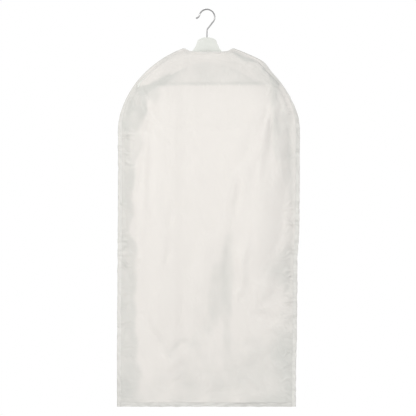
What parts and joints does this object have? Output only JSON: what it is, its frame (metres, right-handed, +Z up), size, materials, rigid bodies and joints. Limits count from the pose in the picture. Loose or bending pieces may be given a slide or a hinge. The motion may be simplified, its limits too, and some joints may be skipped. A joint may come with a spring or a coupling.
{
  "type": "garment bag",
  "caption": "Long garment bag of milky see-through film with a zip down its back, hung on a contoured wooden hanger with a swivel hook and trouser bar.",
  "frame": {"origin": "the inside top of the hook's loop, where it rests on a rail, on the hook's swivel axis", "axes": "+Z up along the hook's straight stem, -Y to the front of the bag, +X to the right seen from the front"},
  "size_m": [0.526, 0.1056, 1.1572],
  "materials": {
    "steel": "plain galvanised wire",
    "painted_wood": "white satin paint",
    "film": "milky translucent film, softly creased",
    "film_weld": "doubled film, welded",
    "zip_tape": "narrow woven tape",
    "zip_plastic": "moulded monofilament",
    "zip_enamel": "white enamel on die-cast metal"
  },
  "bodies": {
    "hook": {"hook_wire": "steel"},
    "hanger_and_bag": {"hook_washer": "steel", "hanger_arm_left": "painted_wood", "hanger_arm_right": "painted_wood", "trouser_bar": "painted_wood", "bar_brads": "steel", "front_panel": "film", "back_panel_wide": "film", "back_panel_narrow": "film", "shoulder_seam_left": "film_weld", "shoulder_seam_right": "film_weld", "side_seam_left": "film_weld", "side_seam_right": "film_weld", "hem_seam": "film_weld", "neck_edge_front": "film_weld", "neck_edge_back": "film_weld", "zip_tape_left": "zip_tape", "zip_tape_right": "zip_tape", "zip_coil_left": "zip_plastic", "zip_coil_right": "zip_plastic", "zip_top_stop": "zip_plastic", "zip_bottom_stop": "zip_plastic"},
    "slider": {"zip_slider": "zip_enamel"},
    "pull_tab": {"zip_pull_tab": "zip_enamel"}
  },
  "joints": [
    {"name": "hook_swivel", "type": "hinge", "parent": "hook", "child": "hanger_and_bag", "pos_m": [0, 0, -0.1], "axis": [0, 0, 1], "continuous": true},
    {"name": "zip_travel", "type": "slide", "parent": "hanger_and_bag", "child": "slider", "axis": [0, 0.0449, 0.999], "range_m": [0, 0.88]},
    {"name": "pull_tab_hinge", "type": "hinge", "parent": "slider", "child": "pull_tab", "pos_m": [-0.082, -0.02553, -1.12742], "axis": [1, 0, 0], "range_deg": [0, 160]}
  ]
}
